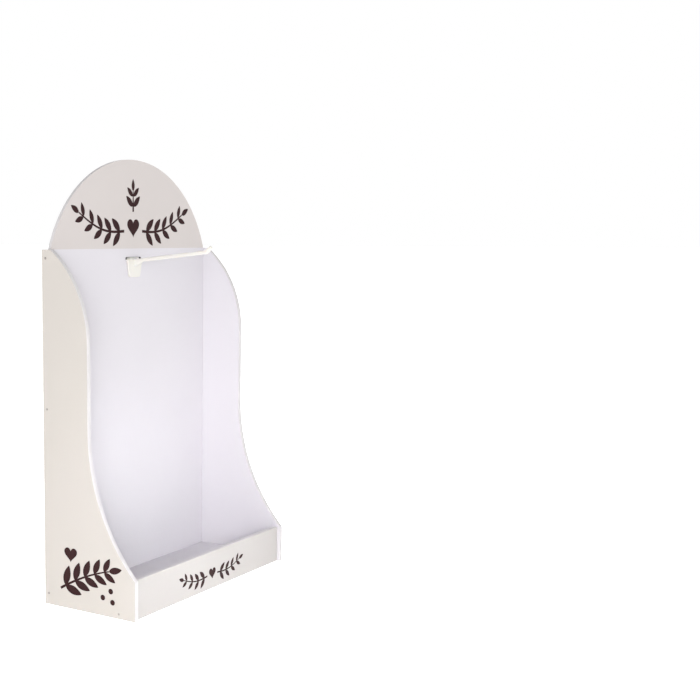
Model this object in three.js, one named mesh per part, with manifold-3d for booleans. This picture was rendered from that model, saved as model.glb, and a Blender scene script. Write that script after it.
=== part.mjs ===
// Counter display stand: five nailed foam boards with an arched header, and a peg hook in the back board.
// Millimetres, +Z up, front towards -Y, origin at the middle of the footprint on the surface it stands on.
import * as THREE from "three";
import { mergeVertices } from "three/addons/utils/BufferGeometryUtils.js";
import Module from "manifold-3d";

const wasm = await Module();
wasm.setup();

// Boards
const WIDTH = 266;            // across the outer faces of the two side boards
const DEPTH = 104;            // side board, rear edge to front edge
const SIDE_HEIGHT = 330;      // side board, base to flat top
const BOARD = 5;              // thickness of the side boards, the lip and the floor
const BACK_BOARD = 3;         // thickness of the back board
const JOINT_GAP = 0.2;        // left between two boards that meet

// Curved front edge of a side board, as depths from its rear edge and heights from the base
const TOP_LAND = 10;          // flat top before the bulge starts
const WAIST_DEPTH = 51.5;     // depth along the narrow upright stretch
const WAIST_TOP = 245;        // where the bulge runs into the upright stretch
const WAIST_BOTTOM = 168;     // where the sweep out to the front starts

// Front lip and floor
const LIP_HEIGHT = 36.5;      // also the height of the side board's upright front edge
const LIP_INSET = 3;          // lip face behind the side boards' front edges
const FLOOR_LIFT = 2;         // underside of the floor above the base

// Back board with its arched header
const BACK_INSET = 3;         // rear face in from the side boards' rear edges
const HEADER_RISE = 86.5;     // top of the arch above the side boards
const ARCH_DROP = 40;         // centre of the arch's ellipse below the side boards' top

// Slot in the back board for the hook
const SLOT_WIDTH = 26;
const SLOT_HEIGHT = 3.5;
const SLOT_BELOW_TOP = 10;    // slot's middle below the side boards' top

// Brads
const BRAD_LENGTH = 16;       // below the head
const BRAD_SHANK = 1;         // diameter
const BRAD_HEAD = 2.2;        // diameter
const BRAD_CROWN = 1.5;       // flat middle of the head, diameter
const BRAD_HEAD_RISE = 0.35;  // thickness of the head, which stands on the side board
const BRAD_POINT = 2;         // length of the tapered point
const BRAD_CLEARANCE = 0.3;   // all round the shank and past its point
const BRAD_TOP = 8;           // top rear brad below the side boards' top
const BRAD_MIDDLE = 184;      // middle rear brad above the base
const BRAD_LOW = 10.5;        // lowest rear brad above the base
const BRAD_FRONT = 10;        // front brad behind the lip's rear face

// Display hook
const PLATE_TOP_WIDTH = 24.4;
const PLATE_FOOT_WIDTH = 18.4;
const PLATE_HEIGHT = 17.6;
const PLATE_THICK = 2.2;
const PLATE_CORNER = 3;       // radius of the two foot corners
const PLATE_COVER = 1.3;      // plate's top edge above the slot's lower edge
const HOOK_GAP = 0.2;         // between the hook and either face of the back board
const NECK_WIDTH = 13;
const NECK_SLACK = 0.4;       // above and below the neck in its slot
const TAB_WIDTH = 24.4;       // tab that lies against the back board's rear face
const TAB_THICK = 0.8;
const TAB_RISE = 13;          // tab's top above the slot's upper edge
const PRONG_WIDTH = 4.2;
const PRONG_THICK = 3.6;
const PRONG_REACH = 86;       // straight length measured out from the back board
const PRONG_SLOPE = 0.109;    // rise for each millimetre of reach
const PRONG_LIFT = 4.3;       // underside at the back board, below the slot's middle
const GUSSET_REACH = 12;      // web under the root of the prong
const GUSSET_DROP = 4;
const TIP_LENGTH = 6.5;       // upturned end
const TIP_ANGLE = 42 * Math.PI / 180;
const TIP_RADIUS = 1.6;
const PRONG_ROUND = 1;        // long edges of the prong
const PLATE_ROUND = 0.5;      // edges of the plate

// Facets
const CURVE_SEGMENTS = 24;
const ROUND_SEGMENTS = 16;
const FINE_SEGMENTS = 6;

// Places worked out from the sizes above
const REAR_Y = DEPTH / 2;
const FRONT_Y = -DEPTH / 2;
const INNER_HALF = WIDTH / 2 - BOARD;
const BACK_REAR_Y = REAR_Y - BACK_INSET;
const BACK_FRONT_Y = BACK_REAR_Y - BACK_BOARD;
const BACK_MIDDLE_Y = BACK_REAR_Y - BACK_BOARD / 2;
const LIP_FRONT_Y = FRONT_Y + LIP_INSET;
const LIP_REAR_Y = LIP_FRONT_Y + BOARD;
const SLOT_Z = SIDE_HEIGHT - SLOT_BELOW_TOP;

// Each brad as its name's ending, its Y and its Z; the rear three enter the back board, the last the floor
const BACK_BRADS = [
  { place: "rear_top", y: BACK_MIDDLE_Y, z: SIDE_HEIGHT - BRAD_TOP },
  { place: "rear_middle", y: BACK_MIDDLE_Y, z: BRAD_MIDDLE },
  { place: "rear_low", y: BACK_MIDDLE_Y, z: BRAD_LOW },
];
const FLOOR_BRADS = [{ place: "front_low", y: LIP_REAR_Y + BRAD_FRONT, z: FLOOR_LIFT + BOARD / 2 }];
const BRADS = [...BACK_BRADS, ...FLOOR_BRADS];

// Materials
function finish(color, roughness, metalness) {
  return new THREE.MeshStandardMaterial({ color, roughness, metalness });
}

const creamBoard = finish("#e7e1d9", 0.55, 0);
const greigeBoard = finish("#e0d9d5", 0.55, 0);
const whiteBoard = finish("#f0eff2", 0.55, 0);
const steel = finish("#9c9894", 0.35, 1);
const ivoryPlastic = finish("#f2f0de", 0.4, 0);

// Solid geometry

function toSolid(geometry) {
  const bare = geometry.index ? geometry.toNonIndexed() : geometry.clone();
  bare.deleteAttribute("normal");
  bare.deleteAttribute("uv");
  const merged = mergeVertices(bare);
  const vertProperties = new Float32Array(merged.attributes.position.array);
  const triVerts = new Uint32Array(merged.index.array);
  return new wasm.Manifold(new wasm.Mesh({ numProp: 3, vertProperties, triVerts }));
}

function toGeometry(solid) {
  const mesh = solid.getMesh();
  const geometry = new THREE.BufferGeometry();
  geometry.setAttribute("position", new THREE.BufferAttribute(new Float32Array(mesh.vertProperties), 3));
  geometry.setIndex(new THREE.BufferAttribute(new Uint32Array(mesh.triVerts), 1));
  const faceted = geometry.toNonIndexed();
  faceted.computeVertexNormals();
  return faceted;
}

function join(geometries) {
  return toGeometry(geometries.map(toSolid).reduce((whole, piece) => whole.add(piece)));
}

function cut(geometry, tools) {
  return toGeometry(tools.map(toSolid).reduce((whole, tool) => whole.subtract(tool), toSolid(geometry)));
}

function slab(outline, thickness) {
  return new THREE.ExtrudeGeometry(outline, {
    depth: thickness,
    bevelEnabled: false,
    curveSegments: CURVE_SEGMENTS,
  });
}

// An outline raised to a thickness with its edges rounded inside both
function mouldedSlab(outline, thickness, round) {
  const geometry = new THREE.ExtrudeGeometry(outline, {
    depth: thickness - 2 * round,
    bevelThickness: round,
    bevelSize: round,
    bevelOffset: -round,
    bevelSegments: 2,
    curveSegments: FINE_SEGMENTS,
  });
  return geometry.translate(0, 0, round);
}

// Turns a slab drawn as (Y, Z) so that its thickness runs along +X
function standAlongSide(geometry) {
  const toWorld = new THREE.Matrix4().makeBasis(
    new THREE.Vector3(0, 1, 0),
    new THREE.Vector3(0, 0, 1),
    new THREE.Vector3(1, 0, 0),
  );
  return geometry.applyMatrix4(toWorld);
}

// Turns a slab drawn as (X, Z) so that its thickness runs along -Y
function standAcross(geometry) {
  return geometry.rotateX(Math.PI / 2);
}

function rectangle(left, right, bottom, top) {
  return new THREE.Shape([
    new THREE.Vector2(left, bottom),
    new THREE.Vector2(right, bottom),
    new THREE.Vector2(right, top),
    new THREE.Vector2(left, top),
  ]);
}

// Boards

// Radius of the arc that leaves an upright line smoothly and ends a given depth and height away
function arcRadius(depth, height) {
  return (depth * depth + height * height) / (2 * depth);
}

// Side board as seen from its side: Y across, Z up
function sideOutline() {
  const waistY = REAR_Y - WAIST_DEPTH;
  const bulgeDepth = WAIST_DEPTH - TOP_LAND;
  const bulgeHeight = SIDE_HEIGHT - WAIST_TOP;
  const bulgeRadius = arcRadius(bulgeDepth, bulgeHeight);
  const bulgeTurn = Math.atan2(bulgeHeight, bulgeRadius - bulgeDepth);
  const sweepDepth = DEPTH - WAIST_DEPTH;
  const sweepHeight = WAIST_BOTTOM - LIP_HEIGHT;
  const sweepRadius = arcRadius(sweepDepth, sweepHeight);
  const sweepTurn = Math.atan2(sweepHeight, sweepRadius - sweepDepth);
  const outline = new THREE.Shape();
  outline.moveTo(FRONT_Y, 0);
  outline.lineTo(REAR_Y, 0);
  outline.lineTo(REAR_Y, SIDE_HEIGHT);
  outline.lineTo(REAR_Y - TOP_LAND, SIDE_HEIGHT);
  outline.absarc(waistY + bulgeRadius, WAIST_TOP, bulgeRadius, Math.PI - bulgeTurn, Math.PI, false);
  outline.lineTo(waistY, WAIST_BOTTOM);
  outline.absarc(waistY - sweepRadius, WAIST_BOTTOM, sweepRadius, 0, -sweepTurn, true);
  outline.lineTo(FRONT_Y, 0);
  for (const brad of BRADS) {
    const hole = new THREE.Path();
    hole.absarc(brad.y, brad.z, BRAD_SHANK / 2 + BRAD_CLEARANCE, 0, 2 * Math.PI, true);
    outline.holes.push(hole);
  }
  return outline;
}

// Blind holes for brads in both ends of a board that reaches from side to side
function bradHoles(brads) {
  const depth = BRAD_LENGTH - BOARD - JOINT_GAP + BRAD_CLEARANCE;
  const radius = BRAD_SHANK / 2 + BRAD_CLEARANCE;
  const overshoot = 1;
  return brads.flatMap((brad) => [-1, 1].map((side) => {
    const hole = new THREE.CylinderGeometry(radius, radius, depth + overshoot, ROUND_SEGMENTS);
    hole.rotateZ(Math.PI / 2);
    const middle = INNER_HALF - JOINT_GAP - (depth - overshoot) / 2;
    return hole.translate(side * middle, brad.y, brad.z);
  }));
}

// Back board as seen from the front: X across, Z up
function backOutline() {
  const half = INNER_HALF - JOINT_GAP;
  const archHeight = HEADER_RISE + ARCH_DROP;
  const archStart = Math.asin(ARCH_DROP / archHeight);
  const archHalfWidth = half / Math.cos(archStart);
  const archZ = SIDE_HEIGHT - ARCH_DROP;
  const outline = new THREE.Shape();
  outline.moveTo(-half, 0);
  outline.lineTo(half, 0);
  outline.lineTo(half, SIDE_HEIGHT);
  outline.absellipse(0, archZ, archHalfWidth, archHeight, archStart, Math.PI - archStart, false);
  outline.lineTo(-half, 0);
  const slot = new THREE.Path();
  const slotRound = SLOT_HEIGHT / 2;
  const slotEnd = SLOT_WIDTH / 2 - slotRound;
  slot.absarc(slotEnd, SLOT_Z, slotRound, -Math.PI / 2, Math.PI / 2, false);
  slot.absarc(-slotEnd, SLOT_Z, slotRound, Math.PI / 2, 1.5 * Math.PI, false);
  outline.holes.push(slot);
  return outline;
}

function backGeometry() {
  const board = standAcross(slab(backOutline(), BACK_BOARD)).translate(0, BACK_REAR_Y, 0);
  return cut(board, bradHoles(BACK_BRADS));
}

function lipGeometry() {
  const half = INNER_HALF - JOINT_GAP;
  return standAcross(slab(rectangle(-half, half, 0, LIP_HEIGHT), BOARD));
}

function floorGeometry() {
  const half = INNER_HALF - JOINT_GAP;
  const front = LIP_REAR_Y + JOINT_GAP;
  const rear = BACK_FRONT_Y - JOINT_GAP;
  const board = slab(rectangle(-half, half, front, rear), BOARD).translate(0, 0, FLOOR_LIFT);
  return cut(board, bradHoles(FLOOR_BRADS));
}

// Brad along +Y, head uppermost, with the head's seat at y = 0
function bradGeometry() {
  const shank = BRAD_SHANK / 2;
  const head = BRAD_HEAD / 2;
  const crown = BRAD_CROWN / 2;
  const profile = [
    new THREE.Vector2(0, -BRAD_LENGTH),
    new THREE.Vector2(shank, -BRAD_LENGTH + BRAD_POINT),
    new THREE.Vector2(shank, 0),
    new THREE.Vector2(head, 0),
    new THREE.Vector2(head, BRAD_HEAD_RISE / 2),
    new THREE.Vector2(crown, BRAD_HEAD_RISE),
    new THREE.Vector2(0, BRAD_HEAD_RISE),
  ];
  return new THREE.LatheGeometry(profile, ROUND_SEGMENTS);
}

// Display hook, drawn about the slot's middle on the back board's front face

// Plate that hangs in front of the board: X across, Z up
function plateOutline() {
  const top = PLATE_COVER - SLOT_HEIGHT / 2;
  const foot = top - PLATE_HEIGHT;
  const topHalf = PLATE_TOP_WIDTH / 2;
  const footHalf = PLATE_FOOT_WIDTH / 2;
  const outline = new THREE.Shape();
  outline.moveTo(-topHalf, top);
  outline.lineTo(-footHalf, foot + PLATE_CORNER);
  outline.quadraticCurveTo(-footHalf, foot, -footHalf + PLATE_CORNER, foot);
  outline.lineTo(footHalf - PLATE_CORNER, foot);
  outline.quadraticCurveTo(footHalf, foot, footHalf, foot + PLATE_CORNER);
  outline.lineTo(topHalf, top);
  return outline;
}

// Neck through the slot, from the plate to the tab behind the board, as seen from the side: Y across, Z up
function neckOutline() {
  const low = -SLOT_HEIGHT / 2 + NECK_SLACK;
  const high = SLOT_HEIGHT / 2 - NECK_SLACK;
  const front = -HOOK_GAP - PLATE_THICK / 2;
  const rear = BACK_BOARD + HOOK_GAP + TAB_THICK / 2;
  return new THREE.Shape([
    new THREE.Vector2(front, low),
    new THREE.Vector2(rear, low),
    new THREE.Vector2(rear, high),
    new THREE.Vector2(-HOOK_GAP, high),
    new THREE.Vector2(front, PLATE_COVER - SLOT_HEIGHT / 2),
  ]);
}

// Tab behind the board, which closes the slot: X across, Z up
function tabOutline() {
  const low = -SLOT_HEIGHT / 2 + NECK_SLACK;
  return rectangle(-TAB_WIDTH / 2, TAB_WIDTH / 2, low, SLOT_HEIGHT / 2 + TAB_RISE);
}

// Prong with the web under its root and its upturned tip, as seen from the side: Y across, Z up
function prongOutline() {
  const under = (reach) => new THREE.Vector2(-reach, PRONG_SLOPE * reach - PRONG_LIFT);
  const over = (reach) => under(reach).add(new THREE.Vector2(0, PRONG_THICK));
  const root = HOOK_GAP + PLATE_THICK / 2;
  const tipOut = new THREE.Vector2(-Math.cos(TIP_ANGLE), Math.sin(TIP_ANGLE));
  const tipUp = new THREE.Vector2(Math.sin(TIP_ANGLE), Math.cos(TIP_ANGLE));
  const bend = under(PRONG_REACH).add(over(PRONG_REACH)).multiplyScalar(0.5);
  const tip = bend.clone().addScaledVector(tipOut, TIP_LENGTH);
  const tipOver = tip.clone().addScaledVector(tipUp, TIP_RADIUS);
  const tipUnder = tip.clone().addScaledVector(tipUp, -TIP_RADIUS);
  const overStart = over(PRONG_REACH - PRONG_THICK);
  const underBend = under(PRONG_REACH + PRONG_THICK / 2);
  const outline = new THREE.Shape();
  outline.moveTo(-root, under(root).y - GUSSET_DROP);
  outline.lineTo(-root, over(root).y);
  outline.lineTo(overStart.x, overStart.y);
  outline.quadraticCurveTo(over(PRONG_REACH).x, over(PRONG_REACH).y, tipOver.x, tipOver.y);
  outline.absarc(tip.x, tip.y, TIP_RADIUS, Math.PI / 2 - TIP_ANGLE, 1.5 * Math.PI - TIP_ANGLE, false);
  outline.lineTo(tipUnder.x, tipUnder.y);
  outline.quadraticCurveTo(underBend.x, underBend.y, under(PRONG_REACH).x, under(PRONG_REACH).y);
  outline.lineTo(under(GUSSET_REACH).x, under(GUSSET_REACH).y);
  return outline;
}

function hookGeometry() {
  const plate = standAcross(mouldedSlab(plateOutline(), PLATE_THICK, PLATE_ROUND));
  const neck = standAlongSide(slab(neckOutline(), NECK_WIDTH));
  const tab = standAcross(slab(tabOutline(), TAB_THICK));
  const prongRound = Math.min(PRONG_ROUND, PRONG_THICK / 3, PRONG_WIDTH / 3);
  const prong = standAlongSide(mouldedSlab(prongOutline(), PRONG_WIDTH, prongRound));
  return join([
    plate.translate(0, -HOOK_GAP, 0),
    neck.translate(-NECK_WIDTH / 2, 0, 0),
    tab.translate(0, BACK_BOARD + HOOK_GAP + TAB_THICK, 0),
    prong.translate(-PRONG_WIDTH / 2, 0, 0),
  ]);
}

// Assembly

const stand = new THREE.Group();

function addPiece(name, geometry, material) {
  const piece = new THREE.Mesh(geometry, material);
  piece.name = name;
  stand.add(piece);
  return piece;
}

const sideGeometry = standAlongSide(slab(sideOutline(), BOARD));
addPiece("left_side_panel", sideGeometry, creamBoard).position.x = -WIDTH / 2;
addPiece("right_side_panel", sideGeometry, creamBoard).position.x = INNER_HALF;
addPiece("back_panel", backGeometry(), greigeBoard);
addPiece("floor_panel", floorGeometry(), whiteBoard);
addPiece("front_lip", lipGeometry(), creamBoard).position.y = LIP_REAR_Y;
addPiece("display_hook", hookGeometry(), ivoryPlastic).position.set(0, BACK_FRONT_Y, SLOT_Z);

const brad = bradGeometry();
for (const [side, outward] of [["left", -1], ["right", 1]]) {
  for (const { place, y, z } of BRADS) {
    const piece = addPiece(`brad_${side}_${place}`, brad, steel);
    piece.position.set(outward * WIDTH / 2, y, z);
    piece.rotation.z = -outward * Math.PI / 2;
  }
}

export default stand;
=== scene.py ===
"""Looks of the counter display stand: sawn foam boards with printed faces, a moulded hook and brads."""
import math

import bmesh
import bpy
from mathutils import Matrix, Vector


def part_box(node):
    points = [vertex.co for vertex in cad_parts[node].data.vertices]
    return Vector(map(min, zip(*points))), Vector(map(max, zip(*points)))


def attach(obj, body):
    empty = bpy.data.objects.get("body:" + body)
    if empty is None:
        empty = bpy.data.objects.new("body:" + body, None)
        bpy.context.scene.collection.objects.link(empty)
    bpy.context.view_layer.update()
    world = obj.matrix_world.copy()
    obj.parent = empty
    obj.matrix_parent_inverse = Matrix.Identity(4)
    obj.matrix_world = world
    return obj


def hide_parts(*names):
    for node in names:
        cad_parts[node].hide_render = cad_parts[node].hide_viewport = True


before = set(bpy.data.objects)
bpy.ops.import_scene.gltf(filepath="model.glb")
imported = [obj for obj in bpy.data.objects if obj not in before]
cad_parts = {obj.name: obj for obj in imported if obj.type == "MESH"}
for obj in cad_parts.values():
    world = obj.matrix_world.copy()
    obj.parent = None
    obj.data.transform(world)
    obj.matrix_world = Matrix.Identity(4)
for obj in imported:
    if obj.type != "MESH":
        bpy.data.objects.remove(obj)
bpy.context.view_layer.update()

MM = 0.001
scene = bpy.context.scene

# Camera, solved from the photograph; pixels are in its 700 x 700 frame
IMAGE_PX = 700
FOCAL_PX = 1239.7
CENTRE_PX = Vector((150.56, 390.27))
SENSOR_MM = 36
CAMERA_PLACE = Vector((-1.0000, -0.6814, 0.3408))
CAMERA_YAW = math.radians(54.763)    # from +Y towards +X
CAMERA_PITCH = math.radians(7.025)   # below level

# Boards
WELD = 0.001 * MM
FLAT_ANGLE = math.radians(0.3)    # triangles that differ less are merged
EDGE_BEVEL = 0.25 * MM
BEVEL_SEGMENTS = 2
SHARP_ANGLE = math.radians(30)    # edges over this get a bevel
SMOOTH_ANGLE = math.radians(50)   # edges under this shade smooth
SHORTEST_BEVELLED = 0.6 * MM
BROAD_FACE = 60 * MM * MM         # area from which a face shades flat
FACES_OUT = 0.9           # least share of a normal that makes a face look that way
FACES_ACROSS = 0.8        # the same, for a board's broad faces against its cut edges
SLOT_REACH = 15 * MM      # to each side of the middle, a little past the slot's ends
SLOT_LOW = 0.310
SLOT_HIGH = 0.326

# Hook
HOOK_BEVEL = 0.2 * MM
HOOK_SHARP_ANGLE = math.radians(50)
HOOK_SMOOTH_ANGLE = math.radians(40)

# Print
INK_RISE = 0.05 * MM      # ink surface above the board's face
INK_SINK = 0.02 * MM      # ink body below the board's face
LEAF_TURN = 0.8           # angle of a leaf to its stem
LEAF_WIDTH = 0.42         # of its length
TIP_LEAF = 0.75           # leaf at a stem's end, of the leaves at its root
LEAF_SHRINK = 0.3         # from the first pair of leaves to the end of the stem

# Studio
FLOOR_REACH = 40.0
FLOOR_GLOW = 0.75
OVERHEAD = 0.13           # light of the surround from above, of that at eye level
WHITE_UP_TO = 0.22        # sine of the height over the horizon where the surround starts to dim
DIM_FROM = 0.6            # the same, where it has dimmed
STAND_MIDDLE = Vector((0, 0, 0.18))


# Node helpers

class Nodes:
    """A material's or world's node tree, with short ways to add and link nodes."""

    def __init__(self, owner):
        owner.use_nodes = True
        self.tree = owner.node_tree
        self.tree.nodes.clear()

    def add(self, kind, inputs=None, **settings):
        node = self.tree.nodes.new(kind)
        for name, value in settings.items():
            setattr(node, name, value)
        for name, value in (inputs or {}).items():
            if isinstance(value, bpy.types.NodeSocket):
                self.tree.links.new(value, node.inputs[name])
            else:
                node.inputs[name].default_value = value
        return node

    def ramp(self, fac, stops):
        node = self.add("ShaderNodeValToRGB", {"Fac": fac})
        elements = node.color_ramp.elements
        while len(elements) < len(stops):
            elements.new(0.5)
        for element, (place, colour) in zip(elements, stops):
            element.position = place
            element.color = colour
        return node.outputs["Color"]


def grey(level):
    return (level, level, level, 1)


def shade(colour, factor):
    """A colour made lighter or darker by a factor, with full cover."""
    return tuple(min(1.0, channel * factor) for channel in colour) + (1,)


def finish_surface(nodes, base, height, bump, distance, **principled):
    """Ends a material: a principled surface with a colour input and a bump from a height output."""
    relief = nodes.add("ShaderNodeBump", {"Strength": bump, "Distance": distance, "Height": height})
    inputs = {"Base Color": base, "Normal": relief.outputs["Normal"]}
    inputs.update({name.replace("_", " "): value for name, value in principled.items()})
    surface = nodes.add("ShaderNodeBsdfPrincipled", inputs)
    output = nodes.add("ShaderNodeOutputMaterial")
    nodes.tree.links.new(surface.outputs["BSDF"], output.inputs["Surface"])


def mottled(nodes, colour, scale, spread):
    """A colour that varies a little in soft patches, by place on the object."""
    place = nodes.add("ShaderNodeTexCoord").outputs["Object"]
    inputs = {"Vector": place, "Scale": scale, "Detail": 4.0, "Roughness": 0.6}
    noise = nodes.add("ShaderNodeTexNoise", inputs)
    stops = [(0.3, shade(colour, 1 - spread)), (0.7, shade(colour, 1 + spread))]
    return place, nodes.ramp(noise.outputs["Fac"], stops)


def bare_board(name, colour):
    """Smooth skin of white foam board: faint clouding and a fine orange-peel surface."""
    material = bpy.data.materials.new(name)
    nodes = Nodes(material)
    place, base = mottled(nodes, colour, 14.0, 0.012)
    peel = nodes.add("ShaderNodeTexNoise", {"Vector": place, "Scale": 900.0, "Detail": 3.0})
    finish_surface(nodes, base, peel.outputs["Fac"], 0.12, 0.1 * MM, Roughness=0.5)
    return material


def sawn_board(name, colour):
    """Cut edge of foam board: open fine cells with faint saw lines across them."""
    material = bpy.data.materials.new(name)
    nodes = Nodes(material)
    place, base = mottled(nodes, colour, 220.0, 0.03)
    cells = nodes.add("ShaderNodeTexVoronoi", {"Vector": place, "Scale": 2600.0}, feature="F1")
    grain = nodes.add("ShaderNodeTexNoise", {"Vector": place, "Scale": 700.0, "Detail": 5.0})
    sources = {0: cells.outputs["Distance"], 1: grain.outputs["Fac"]}
    height = nodes.add("ShaderNodeMath", sources, operation="ADD")
    finish_surface(nodes, base, height.outputs[0], 0.35, 0.15 * MM, Roughness=0.75)
    return material


def printed_board(name, colour):
    """Printed film on the board: an even colour with faint print mottle under a satin skin."""
    material = bpy.data.materials.new(name)
    nodes = Nodes(material)
    place, base = mottled(nodes, colour, 9.0, 0.012)
    skin = nodes.add("ShaderNodeTexNoise", {"Vector": place, "Scale": 420.0, "Detail": 2.0})
    finish_surface(nodes, base, skin.outputs["Fac"], 0.1, 0.1 * MM, Roughness=0.42)
    return material


def ink(name, colour):
    """Flat dark print with slight unevenness in its cover."""
    material = bpy.data.materials.new(name)
    nodes = Nodes(material)
    place, base = mottled(nodes, colour, 300.0, 0.15)
    skin = nodes.add("ShaderNodeTexNoise", {"Vector": place, "Scale": 1500.0, "Detail": 2.0})
    finish_surface(nodes, base, skin.outputs["Fac"], 0.1, 0.05 * MM, Roughness=0.55, Specular_IOR_Level=0.1)
    return material


def moulded_plastic(name, colour):
    """Ivory moulding with a satin skin and faint flow marks."""
    material = bpy.data.materials.new(name)
    nodes = Nodes(material)
    place, base = mottled(nodes, colour, 60.0, 0.02)
    skin = nodes.add("ShaderNodeTexNoise", {"Vector": place, "Scale": 1100.0, "Detail": 3.0})
    finish_surface(
        nodes, base, skin.outputs["Fac"], 0.08, 0.08 * MM,
        Roughness=0.32, Subsurface_Weight=0.15,
        Subsurface_Radius=(0.004, 0.003, 0.002), Subsurface_Scale=1.0,
    )
    return material


def brad_steel(name):
    """Plain steel with fine scratches."""
    material = bpy.data.materials.new(name)
    nodes = Nodes(material)
    place, base = mottled(nodes, (0.36, 0.33, 0.31), 900.0, 0.15)
    scratch = nodes.add("ShaderNodeTexNoise", {"Vector": place, "Scale": 5000.0, "Detail": 4.0})
    finish_surface(nodes, base, scratch.outputs["Fac"], 0.3, 0.03 * MM, Roughness=0.45, Metallic=0.8)
    return material


SKIN = bare_board("bare_board_skin", (0.68, 0.658, 0.695))
SAWN = sawn_board("sawn_board_edge", (0.65, 0.629, 0.638))
# Painted shade: sawn foam made near black for the cut faces inside the hook's slot, where shade falls
SLOT_PAINTED_SHADE = sawn_board("slot_painted_shade", (0.10, 0.09, 0.095))
CREAM = printed_board("cream_print", (0.541, 0.505, 0.469))
LIP_CREAM = printed_board("pale_cream_print", (0.50, 0.476, 0.46))
GREIGE = printed_board("greige_print", (0.603, 0.558, 0.541))
INK = ink("dark_brown_ink", (0.034, 0.012, 0.013))
IVORY = moulded_plastic("ivory_plastic", (0.75, 0.73, 0.685))
STEEL = brad_steel("brad_steel")


# Boards, taken from the fixed frame and given bevelled edges and a material for each kind of face

def add_piece(name, mesh, replaced=()):
    """Puts a mesh in the scene as a piece that rides on the stand and stands for the replaced nodes."""
    piece = bpy.data.objects.new(name, mesh)
    scene.collection.objects.link(piece)
    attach(piece, "root")
    for node in replaced:
        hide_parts(node)
    return piece


def welded_copy(node):
    """The node's shape with split corners welded and flat triangles merged."""
    shape = bmesh.new()
    shape.from_mesh(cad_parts[node].data)
    bmesh.ops.remove_doubles(shape, verts=shape.verts, dist=WELD)
    bmesh.ops.dissolve_limit(shape, angle_limit=FLAT_ANGLE, verts=shape.verts, edges=shape.edges)
    return shape


def bevel_edges(shape, offset, sharper_than):
    """Rounds the sharp edges, without the short ones of which curves are made."""
    sharp = [
        edge for edge in shape.edges
        if edge.calc_face_angle(0) > sharper_than and edge.calc_length() > SHORTEST_BEVELLED
    ]
    bmesh.ops.bevel(
        shape, geom=sharp, offset=offset, offset_type="OFFSET", segments=BEVEL_SEGMENTS,
        profile=0.5, affect="EDGES", clamp_overlap=True,
    )


def shaded_mesh(shape, name, materials, smooth_angle):
    """A mesh with broad faces shaded flat, and only narrow bevels and curved edges shaded smooth."""
    for face in shape.faces:
        face.smooth = face.calc_area() < BROAD_FACE
    for edge in shape.edges:
        edge.smooth = edge.calc_face_angle(0) < smooth_angle
    mesh = bpy.data.meshes.new(name)
    shape.to_mesh(mesh)
    shape.free()
    stored_normals = mesh.attributes.get("custom_normal")
    if stored_normals:
        mesh.attributes.remove(stored_normals)
    for material in materials:
        mesh.materials.append(material)
    return mesh


def board(node, thickness_axis, print_material, is_printed, cut_height=None):
    """A board with sawn edges and bare faces, and print where is_printed says so of a middle and normal."""
    shape = welded_copy(node)
    if cut_height is not None:
        geometry = shape.verts[:] + shape.edges[:] + shape.faces[:]
        bmesh.ops.bisect_plane(shape, geom=geometry, plane_co=(0, 0, cut_height), plane_no=(0, 0, 1))
    bevel_edges(shape, EDGE_BEVEL, SHARP_ANGLE)
    shape.normal_update()
    for face in shape.faces:
        if abs(face.normal[thickness_axis]) < FACES_ACROSS:
            # Cut faces inside the hook's slot get the painted shade, other cut faces the sawn edge
            face.material_index = 3 if in_slot(face.calc_center_median()) else 1
        elif is_printed(face.calc_center_median(), face.normal):
            face.material_index = 2
    name = node.replace("panel", "board")
    mesh = shaded_mesh(shape, name, [SKIN, SAWN, print_material, SLOT_PAINTED_SHADE], SMOOTH_ANGLE)
    add_piece(name + "_dressed", mesh, [node])


def in_slot(place):
    """Whether a place on the back board lies in the hook's slot rather than on the board's outline."""
    return abs(place.x) < SLOT_REACH and SLOT_LOW < place.z < SLOT_HIGH


LEFT_LOW, LEFT_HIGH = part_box("left_side_panel")
_, RIGHT_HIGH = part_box("right_side_panel")
LIP_LOW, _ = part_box("front_lip")
BACK_LOW, BACK_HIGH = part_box("back_panel")

board("left_side_panel", 0, CREAM, lambda middle, normal: normal.x < -FACES_OUT)
board("right_side_panel", 0, CREAM, lambda middle, normal: normal.x > FACES_OUT)
board("front_lip", 1, LIP_CREAM, lambda middle, normal: normal.y < -FACES_OUT)
board("floor_panel", 2, SKIN, lambda middle, normal: False)
board(
    "back_panel", 1, GREIGE,
    lambda middle, normal: normal.y < -FACES_OUT and middle.z > LEFT_HIGH.z, LEFT_HIGH.z,
)


# Hook and brads

hook_shape = welded_copy("display_hook")
bevel_edges(hook_shape, HOOK_BEVEL, HOOK_SHARP_ANGLE)
hook_shape.normal_update()
for face in hook_shape.faces:
    # The tab's front, seen only through the slot, is painted dark as shade, like the slot's walls
    if face.calc_center_median().y > BACK_HIGH.y and face.normal.y < -FACES_OUT:
        face.material_index = 1
hook_mesh = shaded_mesh(hook_shape, "hook", [IVORY, SLOT_PAINTED_SHADE], HOOK_SMOOTH_ANGLE)
add_piece("moulded_hook", hook_mesh, ["display_hook"])

for node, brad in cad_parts.items():
    if node.startswith("brad_"):
        brad.data.materials.clear()
        brad.data.materials.append(STEEL)


# Generic leaf pattern, drawn flat as (across, up) in metres and laid on a printed face

def turned(angle):
    """The flat direction at an angle from across towards up."""
    return Vector((math.cos(angle), math.sin(angle)))


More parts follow.
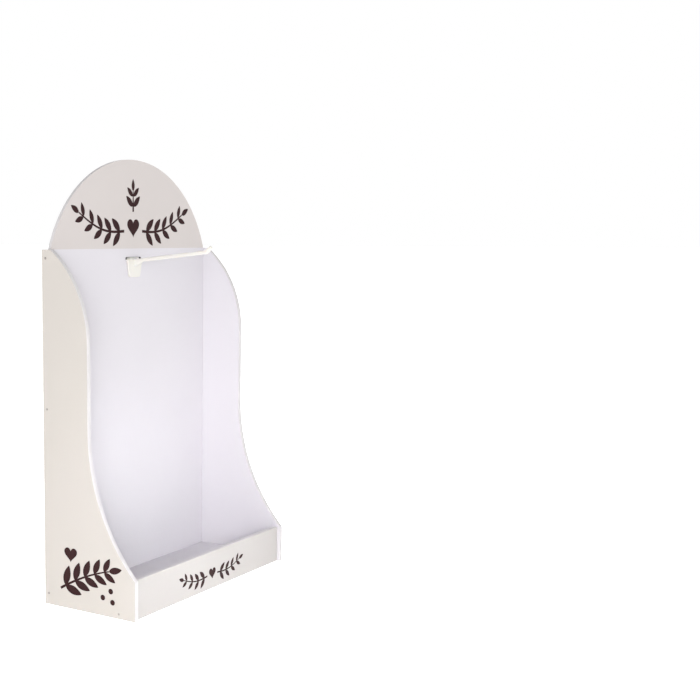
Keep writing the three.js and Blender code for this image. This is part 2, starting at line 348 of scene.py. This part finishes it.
class FlatPrint:
    """Shapes of ink on one face: origin and two directions in the face, and the way out of it."""

    def __init__(self, origin, across, outward):
        up = Vector((0, 0, 1))
        self.to_world = Matrix.Translation(origin) @ Matrix((across, up, outward)).transposed().to_4x4()
        self.shape = bmesh.new()

    def fill(self, points):
        """A closed flat shape with a little thickness."""
        low = [self.shape.verts.new((x, y, -INK_SINK)) for x, y in points]
        high = [self.shape.verts.new((x, y, INK_RISE)) for x, y in points]
        self.shape.faces.new(high)
        self.shape.faces.new(low[::-1])
        count = len(points)
        for i in range(count):
            j = (i + 1) % count
            self.shape.faces.new((low[i], low[j], high[j], high[i]))

    def leaf(self, root, angle, length, width):
        """A pointed leaf, widest a little before its middle."""
        steps = 12
        along = turned(angle)
        aside = Vector((-along.y, along.x))
        left, right = [], []
        for i in range(1, steps):
            t = i / steps
            bulge = 0.5 * width * math.sin(math.pi * t ** 0.85) ** 0.8
            left.append(root + along * (length * t) + aside * bulge)
            right.append(root + along * (length * t) - aside * bulge)
        self.fill([root] + right + [root + along * length] + left[::-1])

    def dot(self, centre, radius):
        self.fill([centre + radius * turned(2 * math.pi * i / 24) for i in range(24)])

    def heart(self, centre, width):
        """A plain heart, as its usual curve."""
        steps = 40
        size = width / 32
        points = []
        for i in range(steps):
            t = 2 * math.pi * i / steps
            x = 16 * math.sin(t) ** 3
            y = 13 * math.cos(t) - 5 * math.cos(2 * t) - 2 * math.cos(3 * t) - math.cos(4 * t)
            points.append(centre + size * Vector((x, y + 2)))
        self.fill(points)

    def stem(self, points, thickness):
        """A line along points that thins towards its end."""
        sides = []
        for i, point in enumerate(points):
            before = points[max(i - 1, 0)]
            after = points[min(i + 1, len(points) - 1)]
            along = (after - before).normalized()
            half = thickness * (0.5 - 0.25 * i / len(points))
            aside = Vector((-along.y, along.x)) * half
            sides.append((point - aside, point + aside))
        self.fill([low for low, _ in sides] + [high for _, high in reversed(sides)])

    def branch(self, line, pairs, leaf_length, thickness):
        """A stem along line(t), 0 to 1, with leaves in pairs that get smaller and one at its tip."""
        steps = 24
        self.stem([line(i / steps) for i in range(steps + 1)], thickness)
        for i in range(pairs):
            t = (i + 0.5) / pairs
            ahead = line(min(t + 0.01, 1)) - line(t - 0.01)
            heading = math.atan2(ahead.y, ahead.x)
            size = leaf_length * (1 - LEAF_SHRINK * t)
            for side in (-1, 1):
                start = line(t) + thickness * 0.3 * turned(heading + side * math.pi / 2)
                self.leaf(start, heading + side * LEAF_TURN, size, LEAF_WIDTH * size)
        end = line(1) - line(0.98)
        size = TIP_LEAF * leaf_length
        self.leaf(line(1), math.atan2(end.y, end.x), size, LEAF_WIDTH * size)

    def lay(self, name):
        """Makes the print a piece that rides on the stand."""
        mesh = bpy.data.meshes.new(name)
        bmesh.ops.recalc_face_normals(self.shape, faces=self.shape.faces)
        self.shape.transform(self.to_world)
        self.shape.to_mesh(mesh)
        self.shape.free()
        mesh.materials.append(INK)
        add_piece(name, mesh)


def mirrored_branches(art, start, end, bow, pairs, leaf_length, thickness):
    """A branch from start to end, bowed down between them, and its mirror image."""
    for side in (-1, 1):
        def line(t, side=side):
            place = start.lerp(end, t)
            return Vector((side * place.x, place.y - bow * math.sin(math.pi * t)))
        art.branch(line, pairs, leaf_length, thickness)


header_art = FlatPrint(Vector((0, BACK_LOW.y, 0)), Vector((1, 0, 0)), Vector((0, -1, 0)))
mirrored_branches(header_art, Vector((15, 347)) * MM, Vector((86, 364)) * MM, 7 * MM, 5, 18 * MM, 2.8 * MM)
header_art.heart(Vector((0, 350)) * MM, 20 * MM)
header_art.branch(lambda t: Vector((0, 366 + 20 * t)) * MM, 2, 16 * MM, 2.6 * MM)
header_art.lay("header_leaf_print")

lip_art = FlatPrint(Vector((0, LIP_LOW.y, 0)), Vector((1, 0, 0)), Vector((0, -1, 0)))
mirrored_branches(lip_art, Vector((9, 14)) * MM, Vector((50, 19)) * MM, 3 * MM, 4, 11.5 * MM, 1.7 * MM)
lip_art.heart(Vector((0, 15)) * MM, 12 * MM)
lip_art.lay("lip_leaf_print")


def side_sprig(name, x, outward):
    """A leaning sprig with a heart and berries, near the foot of a side board."""
    across = Vector((0, outward, 0))
    art = FlatPrint(Vector((x, 0, 0)), across, Vector((outward, 0, 0)))
    art.branch(lambda t: Vector((-33 + 56 * t, 18 + 34 * t - 10 * t * t)) * MM, 5, 20 * MM, 2.4 * MM)
    art.heart(Vector((-21, 51)) * MM, 15 * MM)
    for place in ((16, 17), (25, 24), (27, 14)):
        art.dot(Vector(place) * MM, 2.6 * MM)
    art.lay(name)


side_sprig("left_side_leaf_print", LEFT_LOW.x, -1)
side_sprig("right_side_leaf_print", RIGHT_HIGH.x, 1)


# Studio: pale floor, white surround and large soft lights

def stage_floor():
    """A white floor with a little light of its own, as a lit studio table has."""
    mesh = bpy.data.meshes.new("floor")
    reach = FLOOR_REACH
    corners = [(-reach, -reach, 0), (reach, -reach, 0), (reach, reach, 0), (-reach, reach, 0)]
    mesh.from_pydata(corners, [], [(0, 1, 2, 3)])
    material = bpy.data.materials.new("studio_floor")
    nodes = Nodes(material)
    place, base = mottled(nodes, (0.90, 0.90, 0.90), 3.0, 0.01)
    grain = nodes.add("ShaderNodeTexNoise", {"Vector": place, "Scale": 60.0})
    finish_surface(
        nodes, base, grain.outputs["Fac"], 0.02, 0.1 * MM,
        Roughness=0.35, Emission_Color=(1, 1, 1, 1), Emission_Strength=FLOOR_GLOW,
    )
    mesh.materials.append(material)
    floor = bpy.data.objects.new("studio_floor", mesh)
    scene.collection.objects.link(floor)


def soft_light(name, place, size, power, target=STAND_MIDDLE, spread=math.pi):
    """A round lamp of a size in metres and a power in watts that only its light shows."""
    light = bpy.data.lights.new(name, "AREA")
    light.shape = "DISK"
    light.size = size
    light.energy = power
    light.spread = spread
    lamp = bpy.data.objects.new(name, light)
    lamp.visible_camera = False
    lamp.location = place
    lamp.rotation_euler = (target - Vector(place)).to_track_quat("-Z", "Y").to_euler()
    scene.collection.objects.link(lamp)


def surround():
    """White all round at eye level and dimmer overhead, so that the inside darkens towards the floor."""
    world = bpy.data.worlds.new("white_surround")
    nodes = Nodes(world)
    direction = nodes.add("ShaderNodeTexCoord").outputs["Generated"]
    height = nodes.add("ShaderNodeSeparateXYZ", {"Vector": direction}).outputs["Z"]
    stops = [(0.0, grey(1.0)), (WHITE_UP_TO, grey(1.0)), (DIM_FROM, grey(OVERHEAD)), (1.0, grey(OVERHEAD))]
    white = nodes.ramp(height, stops)
    light = nodes.add("ShaderNodeBackground", {"Color": white, "Strength": 1.0})
    output = nodes.add("ShaderNodeOutputWorld")
    nodes.tree.links.new(light.outputs["Background"], output.inputs["Surface"])
    scene.world = world


def photo_camera():
    """The photograph's camera, with its picture off the middle as solved."""
    data = bpy.data.cameras.new("photo_camera")
    data.sensor_width = SENSOR_MM
    data.lens = FOCAL_PX * SENSOR_MM / IMAGE_PX
    data.shift_x = (IMAGE_PX / 2 - CENTRE_PX.x) / IMAGE_PX
    data.shift_y = (CENTRE_PX.y - IMAGE_PX / 2) / IMAGE_PX
    data.clip_end = 200
    camera = bpy.data.objects.new("photo_camera", data)
    camera.location = CAMERA_PLACE
    camera.rotation_euler = (math.pi / 2 - CAMERA_PITCH, 0, -CAMERA_YAW)
    scene.collection.objects.link(camera)
    scene.camera = camera


stage_floor()
soft_light("key", (-1.66, -1.06, 0.45), 0.5, 12)
soft_light("left_key", (-1.75, -0.68, 0.5), 0.7, 5.5)
soft_light("low_fill", (-0.60, -0.85, 0.45), 0.2, 0.100, Vector((0, 0.03, 0.03)), math.radians(20))
soft_light("wall_fill", (-0.88, -0.66, 0.36), 0.2, 0.022, Vector((0.128, 0, 0.17)), math.radians(16))
soft_light("overhead", (0, -0.1, 2.4), 0.6, 5.0, Vector((0, 0, 0)))
soft_light("side_top", (1.7, 0.25, 1.9), 1.0, 20, Vector((0, 0, 0.25)))
surround()
photo_camera()
scene.view_settings.view_transform = "Standard"
